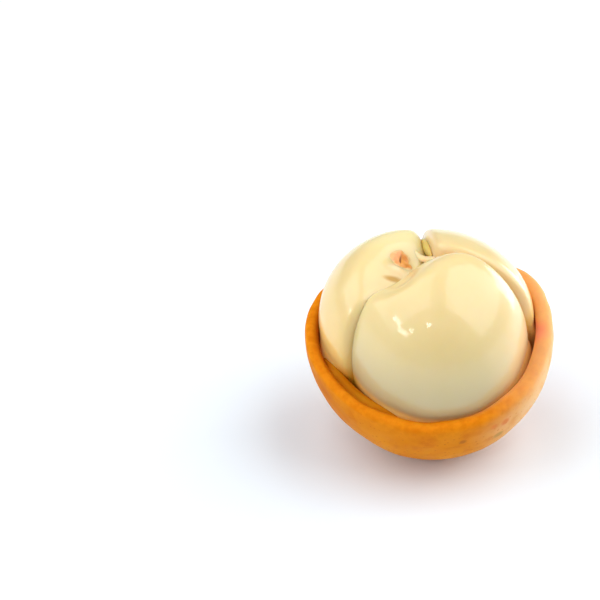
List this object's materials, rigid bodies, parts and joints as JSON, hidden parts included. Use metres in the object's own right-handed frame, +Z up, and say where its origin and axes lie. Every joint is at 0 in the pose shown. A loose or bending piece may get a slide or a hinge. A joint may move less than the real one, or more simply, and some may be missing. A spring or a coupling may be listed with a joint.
{
  "type": "half-peeled burmese grape",
  "caption": "Half-peeled burmese grape: pale glossy segments of flesh sitting in the lower part of a thick orange rind, torn open round its middle.",
  "frame": {"origin": "centre of the flat spot on the rind that the fruit rests on", "axes": "+Z up, +X to the viewer's right, +Y away from the viewer"},
  "size_m": [0.0328, 0.0324, 0.0302],
  "materials": {
    "rind": "satin orange fruit skin with fine pores and small brown and red specks",
    "aril": "wet, slightly translucent cream flesh",
    "column": "moist pinkish-brown plant tissue"
  },
  "bodies": {
    "root": {"rind_cup": "rind", "aril_front": "aril", "aril_left": "aril", "aril_back": "aril", "column_tip": "column"}
  },
  "joints": []
}
